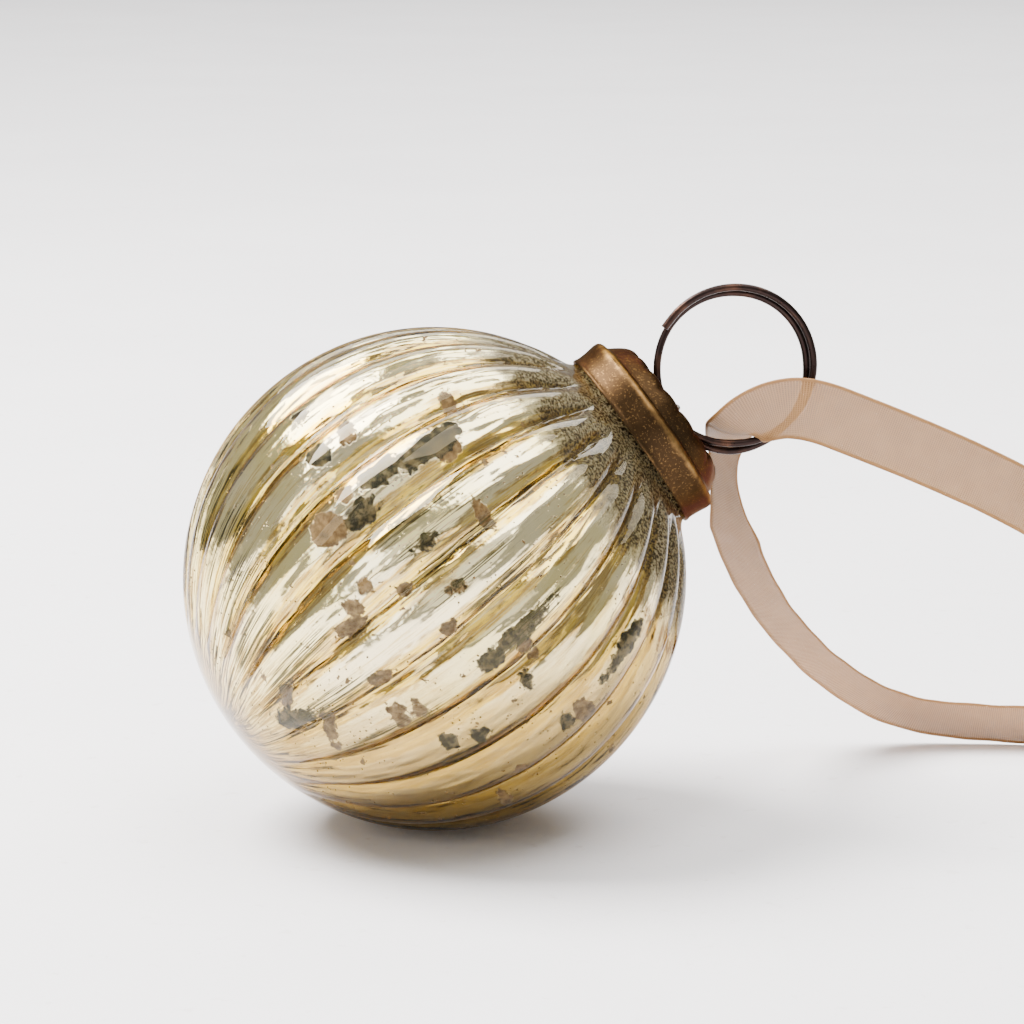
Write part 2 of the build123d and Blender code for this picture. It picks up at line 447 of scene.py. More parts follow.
def organza():
    material, tree, shader = finish_named("copper_organza")
    thread = node(tree, "ShaderNodeUVMap", uv_map="thread").outputs["UV"]
    across, along = node(tree, "ShaderNodeSeparateXYZ", {0: thread}).outputs[:2]
    wobble = times(tree, noise(tree, thread, 260.0, 2.0), 0.00022)
    weft = calc(tree, "SINE", times(tree, plus(tree, along, wobble), 2 * math.pi / WEFT_PITCH))
    warp = calc(tree, "SINE", times(tree, plus(tree, across, wobble), 2 * math.pi / WARP_PITCH))
    weft = between(tree, weft, -0.3, 0.9)
    warp = between(tree, warp, 0.0, 0.95)
    threads = calc(tree, "MAXIMUM", weft, times(tree, warp, 0.7))
    edge = between(tree, calc(tree, "ABSOLUTE", across), RIBBON_WIDTH / 2 - EDGE_WIDTH,
                   RIBBON_WIDTH / 2 - EDGE_WIDTH * 0.8)
    glint = between(tree, noise(tree, thread, 5200.0, 1.0), 0.70, 0.80)
    glint = times(tree, glint, threads)
    cloudy = between(tree, noise(tree, thread, 300.0, 3.0), 0.35, 0.7)
    cloth = mixed(tree, cloudy, colour(0.26, 0.130, 0.048), colour(0.35, 0.185, 0.075))
    cloth = mixed(tree, threads, cloth, colour(0.44, 0.240, 0.100))
    cloth = mixed(tree, edge, cloth, colour(0.30, 0.150, 0.055))
    cloth = mixed(tree, glint, cloth, colour(1.0, 0.85, 0.62))
    sheer = scaled(tree, threads, 0.22, 0.70)
    feed_all(tree, shader, {
        "Base Color": cloth,
        "Alpha": calc(tree, "MAXIMUM", calc(tree, "MAXIMUM", sheer, edge), glint),
        "Metallic": scaled(tree, glint, 0.7, 0.15),
        "Roughness": scaled(tree, glint, -0.3, 0.52),
        "Specular IOR Level": 0.25,
        "Normal": bumped(tree, threads, 0.5, 0.00005)})
    return material


ribbon_cloth = organza()


# %% The two strands and their tails
def strand_width(along):
    """Full width away from the ring, gathered where the ribbon goes over the wire."""
    if along >= 0:
        return 0.88 + 0.12 * min(along / 0.012, 1.0)
    behind = min(-along / 0.026, 1.0)
    return 0.88 - 0.40 * math.sin(behind * math.pi) + 0.12 * behind


def fold_cup(along):
    return 0.0010 * math.exp(-((along / 0.004) ** 2))


def tail_width(along):
    return min(0.5 + along / 0.02, 1.0)


def tail_cup(along):
    return 0.0004


# one line from the back tail's end, over the ring's wire, to the front tail's end
whole_line = np.vstack([back_line[::-1], front_line[1:]])
whole_across = np.vstack([back_across[::-1], front_across[1:]])
frames = ribbon_frames(whole_line, whole_across)
stations, middles = frames[0], frames[1]
fold = np.array(RING_FOLD) * MM
fold_station = int(np.argmin(np.linalg.norm(middles - fold, axis=1)))
knot_gap = np.linalg.norm(middles - np.array(KNOT_CENTRE) * MM, axis=1)
back_knot = int(np.argmin(knot_gap[:fold_station]))
front_knot = fold_station + int(np.argmin(knot_gap[fold_station:]))
at_fold = stations[fold_station]
ribbon_front = ribbon_strip("front_strand", frames, fold_station, front_knot, at_fold,
                            strand_width, fold_cup)
ribbon_back = ribbon_strip("back_strand", frames, back_knot, fold_station, at_fold,
                           strand_width, fold_cup)
tails = [ribbon_strip("tail_a", frames, front_knot, len(stations) - 1, stations[front_knot],
                      tail_width, tail_cup),
         ribbon_strip("tail_b", frames, 0, back_knot, stations[back_knot],
                      lambda along: tail_width(-along), tail_cup)]

# %% [markdown]
# The knot is a plain overhand knot pulled tight. The ribbon bunches into a soft bundle there, so
# a pleated bundle follows the three-lobed line of an overhand knot, which is closed on itself
# because both strands and both tails go into it.

# %% The knot
KNOT_LOBE = 0.00112
KNOT_RISE = 0.00125
BUNDLE = (0.00155, 0.00095)


def overhand_knot():
    turns, around = 140, 28
    corners, uvs = [], []
    centre = Vector(KNOT_CENTRE) * MM

    def line(t):
        return Vector((KNOT_LOBE * 1.2 * (math.sin(t) + 2 * math.sin(2 * t)),
                       KNOT_LOBE * (math.cos(t) - 2 * math.cos(2 * t)),
                       -KNOT_RISE * math.sin(3 * t)))

    for k in range(turns):
        t = 2 * math.pi * k / turns
        tangent = (line(t + 0.01) - line(t - 0.01)).normalized()
        flat = tangent.cross(Vector((0, 0, 1))).normalized()
        up = flat.cross(tangent)
        for i in range(around):
            a = 2 * math.pi * i / around
            pleat = 1 + 0.10 * math.cos(7 * a + 2 * t)
            corners.append(centre + line(t) + flat * (BUNDLE[0] * pleat * math.cos(a))
                           + up * (BUNDLE[1] * pleat * math.sin(a)))
            uvs.append((0.004 * (i / around - 0.5), 0.036 * k / turns))
    knot = made("overhand_knot", corners, quads_between(turns, around, closed=True))
    thread_map(knot, uvs)
    return cleaned(knot)


knot = overhand_knot()
ribbon_tails = joined("cut_tails", tails)
for piece, node_name in ((ribbon_front, "ribbon_front"), (ribbon_back, "ribbon_back"),
                         (knot, "ribbon_knot"), (ribbon_tails, "ribbon_tails")):
    piece.data.materials.append(ribbon_cloth)
    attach(piece, "ring")
    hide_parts(node_name)

# %% [markdown]
# ## The glass ball
#
# The ball is blown into a mould of twenty-four shallow flutes, and it is turned a little as it
# leaves the mould, so that the ribs lean from their meridians. Its shape follows a rule, so
# Geometry Nodes make it from a flat grid: one side of the grid runs round the ball and the other
# runs from the closed pole up to the neck's lip and back down the inside. The same tree makes
# the glass wall and the skin of silvering, whose outside lies a hair within the glass.

# %% The ball's node tree
LEVEL = AXIS.cross(Vector((0, 0, 1))).normalized()
BALL_TURN = Matrix((LEVEL, AXIS.cross(LEVEL), AXIS)).transposed()
BALL_FRAME = Matrix.Translation(CENTRE) @ BALL_TURN.to_4x4()
GLASS_WALL = 0.0012
NECK_RADIUS = 0.0140
LIP_HEIGHT = RIM_HEIGHT + 0.004
RIB_COUNT = 24
RIB_DEPTH = 0.0016
RIB_SWIRL = math.radians(4.0)
MOULD_TURN = math.radians(-2.0)
MOULD_FRAME = BALL_FRAME @ Matrix.Rotation(MOULD_TURN, 4, "Z")
NECK_BLEND = 0.003
RISE_BLEND = 0.0015


def tree_with(name, **sockets):
    """A Geometry Nodes tree with named inputs of each kind, and one geometry output."""
    tree = bpy.data.node_groups.new(name, "GeometryNodeTree")
    tree.interface.new_socket("Geometry", in_out="OUTPUT", socket_type="NodeSocketGeometry")
    for kind, names in sockets.items():
        for socket_name in names:
            tree.interface.new_socket(socket_name, in_out="INPUT", socket_type="NodeSocket" + kind)
    return tree, node(tree, "NodeGroupInput").outputs


def vector(tree, x, y, z):
    return node(tree, "ShaderNodeCombineXYZ", {0: x, 1: y, 2: z}).outputs[0]


def finished(tree, geometry, material):
    """Realize Instances and Set Material end every tree."""
    real = node(tree, "GeometryNodeRealizeInstances", {0: geometry}).outputs[0]
    paint = node(tree, "GeometryNodeSetMaterial", {"Geometry": real, "Material": material})
    node(tree, "NodeGroupOutput", {0: paint.outputs[0]})


def grown(name, tree, inputs, frame_of=Matrix.Identity(4), on=None):
    """Runs a tree once on a mesh or curve and returns its result as a plain mesh in place."""
    seed = in_scene("seed", on or bpy.data.meshes.new("seed"))
    modifier = seed.modifiers.new("grow", "NODES")
    modifier.node_group = tree
    for item in tree.interface.items_tree:
        if item.in_out == "INPUT" and item.name in inputs:
            modifier[item.identifier] = inputs[item.name]
    bpy.context.view_layer.update()
    graph = bpy.context.evaluated_depsgraph_get()
    data = bpy.data.meshes.new_from_object(seed.evaluated_get(graph))
    bpy.data.objects.remove(seed)
    data.transform(frame_of)
    data.name = name
    data.materials.clear()
    data.materials.append(inputs["Material"])
    data.polygons.foreach_set("material_index", [0] * len(data.polygons))
    return in_scene(name, data)


def ribbed_ball_tree():
    tree, given = tree_with(
        "ribbed_ball", Int=("Ribs", "Steps Per Rib", "Steps Up"), Material=("Material",),
        Float=("Radius", "Wall", "Neck Radius", "Lip Height", "Rib Depth", "Inner Depth", "Swirl"))
    columns = plus(tree, times(tree, given["Ribs"], given["Steps Per Rib"]), 1.0)
    rows = times(tree, given["Steps Up"], 2.0)
    grid = node(tree, "GeometryNodeMeshGrid", {"Vertices X": columns, "Vertices Y": rows})
    position = node(tree, "GeometryNodeInputPosition").outputs[0]
    at_x, at_y = node(tree, "ShaderNodeSeparateXYZ", {0: position}).outputs[:2]
    turn = times(tree, plus(tree, at_x, 0.5), 2 * math.pi)
    up = plus(tree, at_y, 0.5)

    # the first half of the grid is the outside, the second half comes back down the inside
    inside = calc(tree, "GREATER_THAN", up, 0.5)
    climb = minus(tree, 1.0, calc(tree, "ABSOLUTE", scaled(tree, up, 2.0, -1.0)))
    last = calc(tree, "DIVIDE", minus(tree, rows, 2.0), minus(tree, rows, 1.0))
    climb = calc(tree, "MINIMUM", calc(tree, "DIVIDE", climb, last), 1.0)
    wall = times(tree, inside, given["Wall"])
    radius = minus(tree, given["Radius"], wall)
    neck = minus(tree, given["Neck Radius"], wall)
    shoulder = minus(tree, math.pi, calc(tree, "ARCSINE", calc(tree, "DIVIDE", neck, radius)))
    arc = times(tree, shoulder, radius)
    shoulder_height = times(tree, calc(tree, "COSINE", shoulder), times(tree, radius, -1.0))
    neck_run = minus(tree, given["Lip Height"], shoulder_height)
    travel = times(tree, climb, plus(tree, arc, neck_run))
    angle = calc(tree, "MINIMUM", calc(tree, "DIVIDE", travel, radius), math.pi)
    sphere_out = times(tree, calc(tree, "SINE", angle), radius)
    sphere_up = times(tree, calc(tree, "COSINE", angle), times(tree, radius, -1.0))
    past = minus(tree, travel, arc)
    soft_out = calc(tree, "SMOOTH_MAX", sphere_out, neck, NECK_BLEND)
    out = mixed(tree, between(tree, angle, 2.0, 2.2), sphere_out, soft_out, "FLOAT")
    rise = calc(tree, "SMOOTH_MAX", sphere_up, plus(tree, shoulder_height, past), RISE_BLEND)

    # each rib is a smooth swelling between two narrow valleys
    latitude = minus(tree, angle, math.pi / 2)
    held = calc(tree, "MINIMUM", calc(tree, "MAXIMUM", latitude, -1.2), 1.2)
    lean = times(tree, calc(tree, "TANGENT", held), calc(tree, "TANGENT", given["Swirl"]))
    along_rib = plus(tree, turn, lean)
    wave = calc(tree, "ABSOLUTE", calc(tree, "SINE", times(tree, along_rib, given["Ribs"], 0.5)))
    valley = minus(tree, 1.0, calc(tree, "POWER", wave, 0.9))
    fade = times(tree, between(tree, latitude, -1.16, -0.86), between(tree, latitude, 1.14, 0.95))
    own_depth = mixed(tree, inside, given["Rib Depth"], given["Inner Depth"], "FLOAT")
    sink = times(tree, valley, fade, own_depth)
    shrink = minus(tree, 1.0, calc(tree, "DIVIDE", sink, radius))
    out = times(tree, out, shrink)
    rise = times(tree, rise, shrink)

    # the fields are stored on the flat grid, before its corners move
    kept = grid.outputs["Mesh"]
    fields = (("valley", times(tree, valley, fade)), ("latitude", latitude),
              ("rib_x", calc(tree, "COSINE", along_rib)), ("rib_y", calc(tree, "SINE", along_rib)))
    for name, field in fields:
        values = {"Geometry": kept, "Name": name, "Value": field}
        kept = node(tree, "GeometryNodeStoreNamedAttribute", values,
                    data_type="FLOAT", domain="POINT").outputs[0]
    corner = vector(tree, times(tree, calc(tree, "COSINE", turn), out),
                    times(tree, calc(tree, "SINE", turn), out), rise)
    shaped = node(tree, "GeometryNodeSetPosition", {"Geometry": kept, "Position": corner}).outputs[0]
    merge = node(tree, "GeometryNodeMergeByDistance", {"Geometry": shaped, "Distance": 0.000004})
    finished(tree, merge.outputs[0], given["Material"])
    return tree


# %% [markdown]
# The clear glass has the faint gold of its tint and almost no roughness. The silvering behind it
# is metal, and its age is the look of the whole ornament: gold gathers in the valleys, small
# holes pepper it, it has lifted in tan patches and blackened in dark ones, thin dark lines run
# along some ribs, and round the neck it has gone brown.
# The patches and the zones of lines are placed by longitude and latitude on the ball in degrees. Their
# distance is stored at each corner, and noise roughens their edges.

# %% Where the silvering has lifted
# longitude from the side that faces the camera, latitude, half width, half height and lean,
# all in degrees
TAN_PATCHES = [
    (-23.9, -13.0, 3.9, 3.9, 0), (-23.5, 19.0, 2.2, 2.8, 0), (-27.5, -6.0, 2.0, 1.8, 0),
    (-41.3, 2.2, 3.0, 1.8, 20), (-6.9, 17.3, 3.4, 1.3, 0), (4.1, 3.0, 1.7, 2.3, 0),
    (10.8, -3.7, 1.6, 1.6, 0), (-8.0, -13.4, 1.6, 1.4, 0), (-5.7, -18.8, 2.2, 1.6, 0),
    (-2.5, -20.5, 1.5, 2.0, 0), (-2.7, -24.0, 1.7, 1.9, 0), (11.9, -24.0, 1.5, 2.5, 0),
    (23.6, -20.2, 2.0, 1.3, 0), (22.8, -24.8, 3.2, 1.7, 0), (23.6, 7.5, 2.2, 1.2, 0),
    (28.1, 8.3, 1.4, 1.0, 0), (50.6, 10.5, 3.2, 2.4, 0), (54.3, -9.0, 1.4, 1.0, 0),
    (64.4, -15.8, 1.8, 1.2, 0), (3.5, -48.0, 2.6, 2.0, 0), (18.0, -42.0, 4.0, 1.6, 10),
    (-36.0, 26.0, 2.6, 1.4, 0), (70.0, 13.0, 2.4, 1.6, 0), (-2.0, -7.0, 1.2, 1.6, 0),
    (118.0, 12.0, 3.0, 5.0, 10), (140.0, -18.0, 2.4, 2.0, 0), (164.0, 22.0, 3.4, 1.6, 30),
    (185.0, -8.0, 2.0, 3.2, 0), (203.0, 14.0, 3.6, 2.0, 0), (221.0, -26.0, 2.8, 2.2, 0),
    (246.0, 4.0, 2.2, 4.2, 15), (262.0, -14.0, 3.2, 1.6, 0), (282.0, 20.0, 1.8, 3.0, 0),
    (98.0, -30.0, 2.6, 1.6, 0), (150.0, -44.0, 2.0, 3.0, 0), (231.0, 30.0, 2.0, 2.6, 0),
]
DARK_PATCHES = [
    (-26.2, 15.5, 2.4, 7.0, -10), (-27.0, 4.0, 2.2, 4.0, -6), (-22.0, -4.5, 2.0, 3.6, 0),
    (-40.5, -5.2, 2.4, 2.2, 0), (-54.9, -3.7, 1.6, 1.4, 0), (37.1, -11.7, 1.7, 1.6, 0),
    (34.8, -18.3, 1.6, 1.6, 0), (31.8, 3.8, 1.5, 1.2, 0), (49.4, 5.7, 1.5, 1.1, 0),
    (20.8, 8.0, 1.5, 7.0, -5), (22.5, 0.5, 1.6, 2.6, 0), (46.8, 27.5, 1.0, 5.5, -6),
    (11.5, -49.0, 1.8, 4.0, 0), (-8.0, 3.5, 1.2, 2.4, 0), (3.8, 3.4, 1.0, 1.6, 0),
    (128.0, 4.0, 1.5, 8.0, -8), (152.0, -20.0, 1.7, 5.0, -8), (176.0, 10.0, 1.3, 7.0, -8),
    (212.0, -10.0, 1.6, 6.0, -8), (238.0, 16.0, 1.4, 7.0, -8), (270.0, -2.0, 1.4, 6.0, -8),
]
# where thin dark lines run along the ribs
STREAK_ZONES = [
    (-14.0, 8.0, 1.6, 13.0, -5), (-9.0, 7.0, 1.2, 12.0, -5), (-2.7, 9.0, 1.8, 14.0, -5),
    (4.0, 8.0, 1.3, 12.0, -5), (9.3, 13.0, 1.5, 12.0, -5), (21.3, 10.0, 2.4, 12.0, -5),
    (-62.0, -34.0, 3.0, 12.0, -8), (-47.5, -38.0, 3.2, 12.0, -8), (-33.0, -42.0, 3.4, 11.0, -8),
    (-18.0, -46.0, 3.4, 10.0, -8), (-3.0, -40.0, 2.6, 13.0, -8), (12.0, -38.0, 2.6, 13.0, -8),
    (27.0, -30.0, 2.2, 16.0, -8), (42.0, -22.0, 2.0, 18.0, -8), (57.0, -12.0, 1.8, 20.0, -8),
    (120.0, 5.0, 2.0, 16.0, -5), (147.0, -12.0, 1.8, 16.0, -5), (172.0, 8.0, 2.0, 14.0, -5),
    (199.0, -20.0, 2.0, 15.0, -5), (226.0, 5.0, 1.8, 16.0, -5), (255.0, -10.0, 2.0, 15.0, -5),
]
PATCH_REACH = 20.0
to_eye = BALL_TURN.transposed() @ (camera.location - CENTRE)
EYE_LONGITUDE = math.degrees(math.atan2(to_eye.y, to_eye.x))
print("the camera faces longitude", round(EYE_LONGITUDE, 2))


def patch_distance(thing, patches):
    """How far each corner is outside the nearest patch, in degrees; below nought is inside."""
    local = (corners_of(thing) - np.array(CENTRE)) @ np.array(BALL_TURN)
    longitude = np.degrees(np.arctan2(local[:, 1], local[:, 0])) - EYE_LONGITUDE
    latitude = np.degrees(np.arctan2(local[:, 2], np.hypot(local[:, 0], local[:, 1])))
    nearest = np.full(len(local), PATCH_REACH)
    for lon, lat, half_wide, half_high, lean in patches:
        across = ((longitude - lon + 180) % 360 - 180) * np.cos(np.radians(latitude))
        over = latitude - lat
        c, s = math.cos(math.radians(lean)), math.sin(math.radians(lean))
        across, over = c * across - s * over, s * across + c * over
        size = min(half_wide, half_high)
        out = (np.sqrt((across / half_wide) ** 2 + (over / half_high) ** 2) - 1) * size
        nearest = np.minimum(nearest, out)
    return nearest


# %% The silvering
# towards the side of the ball that turns down to the table, where a darker gold is painted on as shade
LOW_SIDE = (0.25, -0.05, -0.97)


def rib_space(tree, stretch):
    """Places told by the ribs, so that noise runs along them, longer for a smaller stretch."""
    return vector(tree, stored(tree, "rib_x"), stored(tree, "rib_y"),
                  times(tree, stored(tree, "latitude"), stretch))


def silver_fields(tree):
    """The noises that the parts of the silvering share, and the stored place up the ball."""
    here = place(tree)
    ragged = noise(tree, here, 900.0, 4.0, 0.65)
    ragged_large = noise(tree, here, 260.0, 3.0)
    return SimpleNamespace(
        here=here, latitude=stored(tree, "latitude"), ragged=ragged, ragged_large=ragged_large,
        rough_edge=plus(tree, centred(tree, ragged, 3.4), centred(tree, ragged_large, 3.6)),
        streak=noise(tree, rib_space(tree, 0.22), 30.0, 4.0, 0.6),
        fine=noise(tree, rib_space(tree, 0.07), 85.0, 3.0, 0.65),
        line=noise(tree, rib_space(tree, 0.022), 150.0, 2.0, 0.5),
        speckle=between(tree, noise(tree, here, 2600.0, 3.0, 0.6), 0.40, 0.64))


def golden_metal(tree, on):
    """Pale metal with gold in its valleys and hairs of it along the ribs, a darker gold at the closed
    pole and where the ball turns away, and a painted shade of darker gold on the low side towards the
    table."""
    band = between(tree, plus(tree, stored(tree, "valley"), centred(tree, on.streak, 0.7)), 0.16, 0.30)
    gather = times(tree, band, between(tree, on.fine, 0.22, 0.46))
    gather = times(tree, gather, scaled(tree, between(tree, on.line, 0.44, 0.52), 0.30, 0.70))
    gold = mixed(tree, between(tree, on.streak, 0.42, 0.58),
                 colour(0.84, 0.56, 0.03), colour(0.36, 0.215, 0.045))
    hairs = times(tree, between(tree, on.line, 0.55, 0.60), between(tree, on.streak, 0.44, 0.56))
    dusting = times(tree, between(tree, on.ragged, 0.58, 0.70), between(tree, on.streak, 0.40, 0.65))
    pole = between(tree, plus(tree, on.latitude, times(tree, on.streak, 0.40)), -0.35, -0.75)
    pole = times(tree, pole, between(tree, on.fine, 0.44, 0.58))
    # painted shade: the silvering turns a darker gold on the side towards the table, in place of the
    # shadowed table that it would mirror
    depth = node(tree, "ShaderNodeVectorMath", {0: on.here, 1: LOW_SIDE}, operation="DOT_PRODUCT")
    painted_table_shade = plus(tree, depth.outputs["Value"], times(tree, on.streak, 0.012))
    painted_table_shade = between(tree, painted_table_shade, -0.032, -0.010)
    rim = between(tree, facing(tree), 0.62, 0.92)
    metal = mixed(tree, between(tree, noise(tree, on.here, 60.0, 3.0), 0.35, 0.7),
                  colour(0.96, 0.87, 0.62), colour(0.94, 0.82, 0.42))
    for share, strength, tint in (
            (gather, 0.92, gold), (hairs, 0.45, colour(0.66, 0.42, 0.05)),
            (dusting, 0.45, colour(0.50, 0.31, 0.09)), (pole, 0.85, colour(0.36, 0.215, 0.035)),
            (painted_table_shade, 0.85, colour(0.33, 0.205, 0.035)), (rim, 0.8, colour(0.52, 0.31, 0.04))):
        metal = mixed(tree, times(tree, share, strength), metal, tint)
    return metal


def worn_places(tree, on):
    """Where the coat is lifted, blackened, browned by the neck, peppered with holes or lined."""
    tan = between(tree, plus(tree, stored(tree, "tan_patch"), on.rough_edge), 0.60, 0.20)
    crumbs = between(tree, noise(tree, on.here, 520.0, 3.0, 0.55), 0.685, 0.70)
    tan = calc(tree, "MAXIMUM", tan, crumbs)
    dark = plus(tree, stored(tree, "dark_patch"), times(tree, on.rough_edge, 1.1))
    dark = between(tree, dark, 0.95, 0.45)
    neck = plus(tree, on.latitude, centred(tree, on.ragged_large, 0.24), centred(tree, on.streak, 0.30))
    neck = times(tree, between(tree, neck, 0.66, 0.82), scaled(tree, on.speckle, -0.25, 1.0))
    holes = node(tree, "ShaderNodeTexVoronoi", {"Vector": on.here, "Scale": 1100.0}, feature="F1")
    pepper = times(tree, between(tree, holes.outputs["Distance"], 0.20, 0.12),
                   between(tree, noise(tree, on.here, 150.0, 2.0), 0.50, 0.58))
    lines = plus(tree, stored(tree, "streak_zone"), times(tree, on.rough_edge, 0.4))
    lines = times(tree, between(tree, lines, 0.9, -0.5), between(tree, on.line, 0.50, 0.53))
    return tan, dark, neck, pepper, lines


def aged_silvering():
    material, tree, shader = finish_named("aged_gold_silvering")
    on = silver_fields(tree)
    tan, dark, neck, pepper, lines = worn_places(tree, on)
    lifted = mixed(tree, between(tree, on.ragged, 0.35, 0.65),
                   colour(0.085, 0.050, 0.022), colour(0.27, 0.175, 0.085))
    bared = mixed(tree, between(tree, on.ragged, 0.42, 0.62),
                  colour(0.010, 0.010, 0.005), colour(0.115, 0.090, 0.045))
    browned = mixed(tree, on.speckle, colour(0.014, 0.008, 0.002), colour(0.070, 0.042, 0.008))
    face = golden_metal(tree, on)
    for share, tone in ((pepper, colour(0.16, 0.11, 0.05)), (tan, lifted), (dark, bared),
                        (times(tree, lines, 0.92), colour(0.040, 0.036, 0.010)), (neck, browned)):
        face = mixed(tree, share, face, tone)
    worn = calc(tree, "MAXIMUM", calc(tree, "MAXIMUM", tan, dark), calc(tree, "MAXIMUM", neck, pepper))
    mottle = scaled(tree, noise(tree, on.here, 420.0, 3.0), 0.10, 0.055)
    height = plus(tree, times(tree, on.ragged_large, 0.5), times(tree, worn, -0.10),
                  times(tree, noise(tree, rib_space(tree, 0.22), 20.0, 1.0), 1.6))
    feed_all(tree, shader, {
        "Base Color": face,
        "Metallic": scaled(tree, worn, -0.95, 1.0),
        "Specular IOR Level": scaled(tree, worn, -0.40, 0.5),
        "Roughness": scaled(tree, worn, 0.35, mottle),
        "Normal": bumped(tree, height, 0.35, 0.0006)})
    return material


# %% The glass
def tinted_glass():
    material, tree, shader = finish_named("pale_gold_glass")
    rim = between(tree, facing(tree), 0.50, 0.82)
    wave = noise(tree, place(tree), 70.0, 2.0)
    feed_all(tree, shader, {
        "Base Color": mixed(tree, rim, colour(1.0, 0.955, 0.80), colour(0.50, 0.26, 0.03)),
        "Transmission Weight": 1.0,
        "IOR": 1.42,
        "Specular Tint": colour(1.0, 0.86, 0.58),
        "Roughness": 0.03,
        "Normal": bumped(tree, wave, 0.25, 0.0006)})
    return material


# %% The ball's two meshes
INNER_RIB_DEPTH = RIB_DEPTH * 0.9
SKIN_IN_GLASS = 0.00004
SKIN_RADIUS_LOSS = GLASS_WALL - SKIN_IN_GLASS
ball_tree = ribbed_ball_tree()
sizes = {"Radius": BALL_RADIUS, "Wall": GLASS_WALL, "Neck Radius": NECK_RADIUS, "Lip Height": LIP_HEIGHT,
         "Ribs": RIB_COUNT, "Rib Depth": RIB_DEPTH, "Inner Depth": INNER_RIB_DEPTH, "Swirl": RIB_SWIRL,
         "Steps Per Rib": 16, "Steps Up": 120, "Material": tinted_glass()}
glass_shell = cleaned(grown("glass_shell", ball_tree, sizes, MOULD_FRAME), merge=1e-7)
sizes.update({"Radius": BALL_RADIUS - SKIN_RADIUS_LOSS, "Wall": 0.00005,
              "Neck Radius": NECK_RADIUS - SKIN_RADIUS_LOSS, "Lip Height": RIM_HEIGHT + 0.001,
              "Rib Depth": INNER_RIB_DEPTH, "Material": aged_silvering()})
silvering = cleaned(grown("silvering", ball_tree, sizes, MOULD_FRAME), merge=1e-7)
mark(silvering, "tan_patch", patch_distance(silvering, TAN_PATCHES))
mark(silvering, "dark_patch", patch_distance(silvering, DARK_PATCHES))
mark(silvering, "streak_zone", patch_distance(silvering, STREAK_ZONES))
for piece, finish_slot in ((glass_shell, "gold_glass"), (silvering, "silvering")):
    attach(piece, "glass")
    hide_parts("glass_ball")
    print(piece.name, len(piece.data.polygons), "faces")

# %% [markdown]
# ## The cap
#
# The cap is pressed from thin sheet and aged to a dark bronze. Its ridges have been rubbed bright
# again. Its outline is turned about the axis like a pot on a wheel, with small rounds at each
# bend, and the edge of its crown waves in and out, where the press pinched it into petals. Each
# corner stores how far it stands proud, and the rubbed metal shows there.

# %% The cap's outline
CAP_COLUMNS = 320
CAP_SHEET = 0.00045
PETALS = 16
CROWN_RADIUS = 10.6
CROWN_SPREAD = 1.3
# radius and height above the rim in millimetres, and how rubbed the metal is there
CAP_OUTLINE = [
    (14.75, 0.05, 0.35), (14.86, 0.35, 0.40), (14.72, 0.75, 0.20), (14.70, 1.3, 0.15),
    (14.78, 2.4, 0.12), (14.92, 3.4, 0.25), (15.0, 4.1, 0.50), (14.92, 4.65, 0.72), (14.55, 5.05, 0.62),
    (13.95, 5.2, 0.55), (13.5, 5.3, 0.18), (13.15, 5.75, 0.05), (12.65, 6.6, 0.10),
    (12.1, 7.4, 0.15), (11.5, 7.95, 0.30), (10.8, 8.28, 0.55), (10.0, 8.35, 0.35), (9.3, 8.2, 0.10),
    (8.5, 7.5, 0.0), (7.7, 6.75, 0.0), (6.4, 6.3, 0.05), (5.2, 6.0, 0.08), (4.0, 5.75, 0.15),
    (3.0, 5.65, 0.30), (2.3, 5.6, 0.5),
]


def smoothed(points, times=2):
    """Rounds an open outline by cutting its corners, and keeps its ends."""
    points = np.array(points, float)
    for _ in range(times):
        cut = [points[0]]
        for a, b in zip(points, points[1:]):
            cut += [0.75 * a + 0.25 * b, 0.25 * a + 0.75 * b]
        points = np.array(cut + [points[-1]])
    return points


def petal_wave(angle):
    """Nought between two petals and one on top of a petal."""
    return abs(math.cos(angle * PETALS / 2)) ** 0.6


def pressed_cap(material):
    outline = smoothed(CAP_OUTLINE)
    tangent = np.gradient(outline[:, :2], axis=0)
    tangent /= np.linalg.norm(tangent, axis=1)[:, None]
    inward = np.column_stack([-tangent[:, 1], tangent[:, 0]])
    inner = outline[:, :2] + inward * CAP_SHEET / MM
    loop = np.vstack([outline, np.column_stack([inner, np.zeros(len(inner))])[::-1]])
    corners, rubbed = [], []
    for column in range(CAP_COLUMNS):
        angle = 2 * math.pi * column / CAP_COLUMNS
        wave = petal_wave(angle)
        for radius, height, bright in loop:
            crown = math.exp(-(((radius - CROWN_RADIUS) / CROWN_SPREAD) ** 2)) * (height > 6.0)
            dent = 0.07 * math.sin(3 * angle + 1.0) + 0.05 * math.sin(7 * angle + 2.2)
            shell_height = height + crown * (0.32 * wave - 0.22)
            shell_radius = radius + crown * (0.26 * wave - 0.19) + dent * (height > 5.2) * 0.6
            corners.append(BALL_FRAME @ Vector((
                shell_radius * MM * math.cos(angle), shell_radius * MM * math.sin(angle),
                RIM_HEIGHT + shell_height * MM)))
            rubbed.append(bright * (1 - 0.5 * crown * (1 - wave)))
    cap = made("pressed_cap", corners, quads_between(CAP_COLUMNS, len(loop), closed=True), material)
    mark(cap, "rubbed", rubbed)
    return cleaned(cap)


